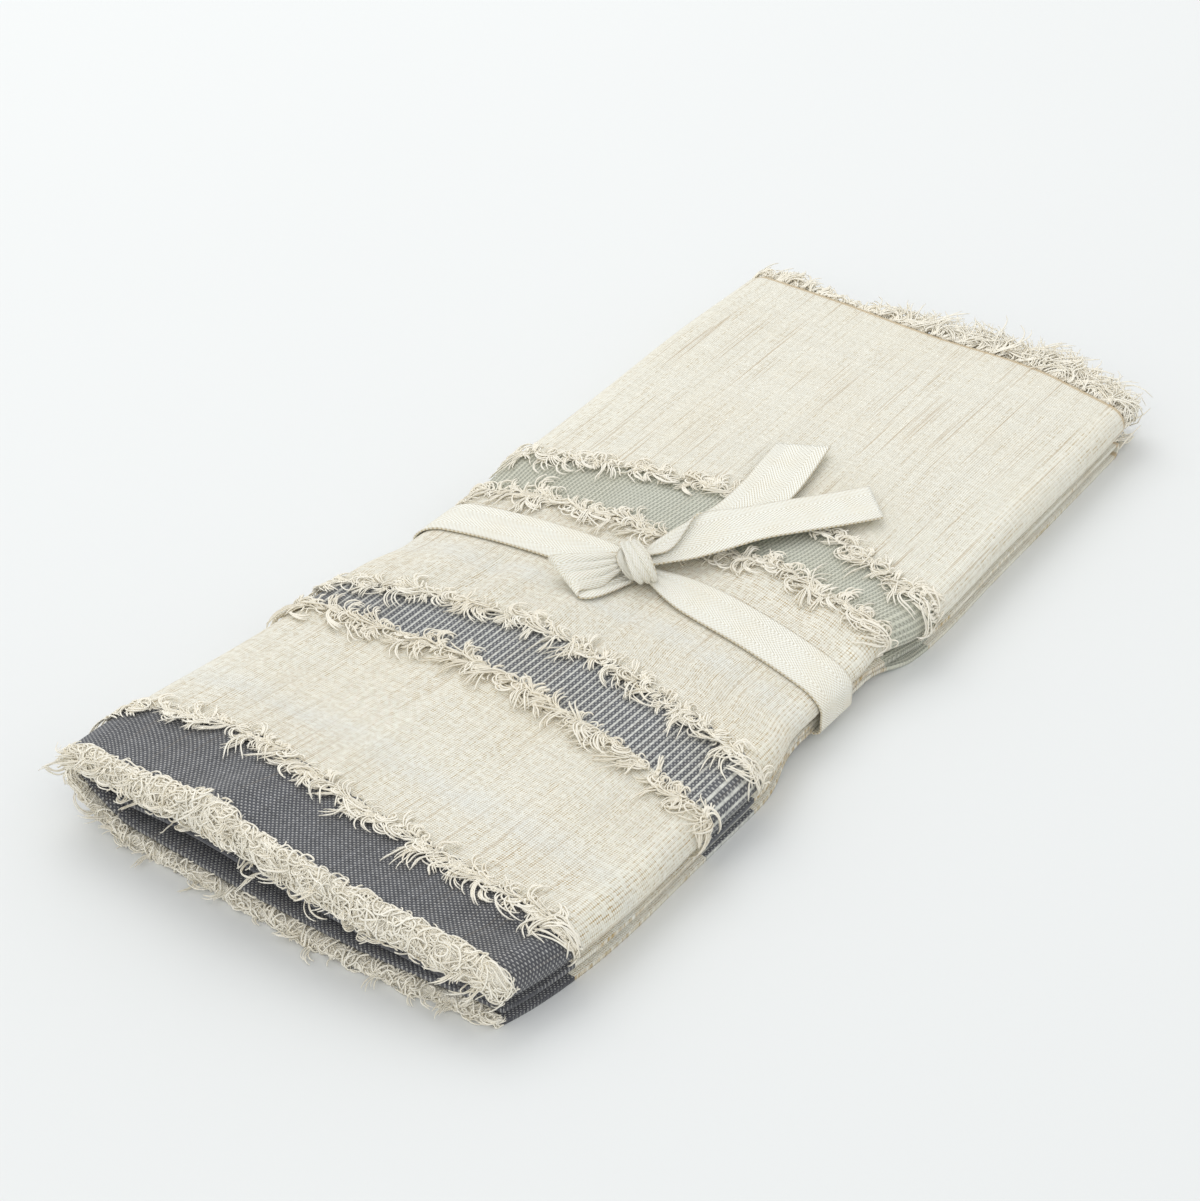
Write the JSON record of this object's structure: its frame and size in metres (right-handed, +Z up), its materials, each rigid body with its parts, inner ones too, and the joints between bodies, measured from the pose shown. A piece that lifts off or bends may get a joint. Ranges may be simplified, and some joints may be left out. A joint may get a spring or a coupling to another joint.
{
  "type": "folded hand towel",
  "caption": "Rectangular folded cotton towel with ragged woven bands and fringed ends, tied round its waist with a flat cotton tape.",
  "frame": {"origin": "on the surface the pack rests on, under the middle of its box", "axes": "+Y along the pack from the near fringe to the far one, +X across it to the right, +Z up"},
  "size_m": [0.1752, 0.3974, 0.0342],
  "materials": {
    "cloth": "hand-woven cotton, ecru with dark grey, mid grey and pale grey-green bands",
    "yarn": "loose ecru cotton yarn",
    "tape": "ivory cotton herringbone tape"
  },
  "bodies": {
    "root": {"towel": "cloth", "fringe_near_upper": "yarn", "fringe_near_lower": "yarn", "fringe_far_upper": "yarn", "fringe_far_lower": "yarn", "ragged_line_1": "yarn", "ragged_line_2": "yarn", "ragged_line_3": "yarn", "ragged_line_4": "yarn", "ragged_line_5": "yarn", "ribbon": "tape"}
  },
  "joints": []
}
